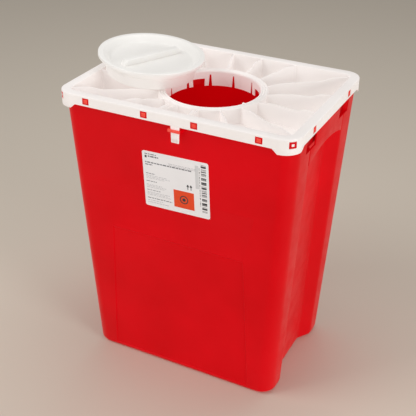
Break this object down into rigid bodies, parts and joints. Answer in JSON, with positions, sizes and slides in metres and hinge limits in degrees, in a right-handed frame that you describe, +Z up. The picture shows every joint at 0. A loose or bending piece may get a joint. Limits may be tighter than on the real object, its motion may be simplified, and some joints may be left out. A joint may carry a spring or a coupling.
{
  "type": "sharps container",
  "caption": "Tall tapered red bin with side handholds, a clip-on white tray lid with ribs and a round fingered port, and a loose round screw cap.",
  "frame": {"origin": "middle of the base, on the surface the container stands on", "axes": "+Z up; the front with the label and latch faces -Y; the handholds are on -X and +X"},
  "size_m": [0.4402, 0.3255, 0.5815],
  "materials": {
    "red_bin": "moulded red polypropylene, satin gloss",
    "white_lid": "translucent natural white polypropylene, satin",
    "white_cap": "opaque white polypropylene, satin",
    "label_paper": "printed self-adhesive film"
  },
  "bodies": {
    "container": {"container_body": "red_bin", "handle_right": "red_bin", "handle_left": "red_bin", "snap_tabs": "red_bin", "latch_loop": "red_bin", "lid_tray": "white_lid", "lid_ribs": "white_lid", "port_collar": "white_lid", "port_fingers": "white_lid", "latch_tongue": "white_lid", "front_label": "label_paper"},
    "cap": {"cap_shell": "white_cap", "cap_grip": "white_cap"}
  },
  "joints": [
    {"name": "cap_lift", "type": "slide", "parent": "container", "child": "cap", "axis": [0, 0, 1], "range_m": [0, 0.15]}
  ]
}
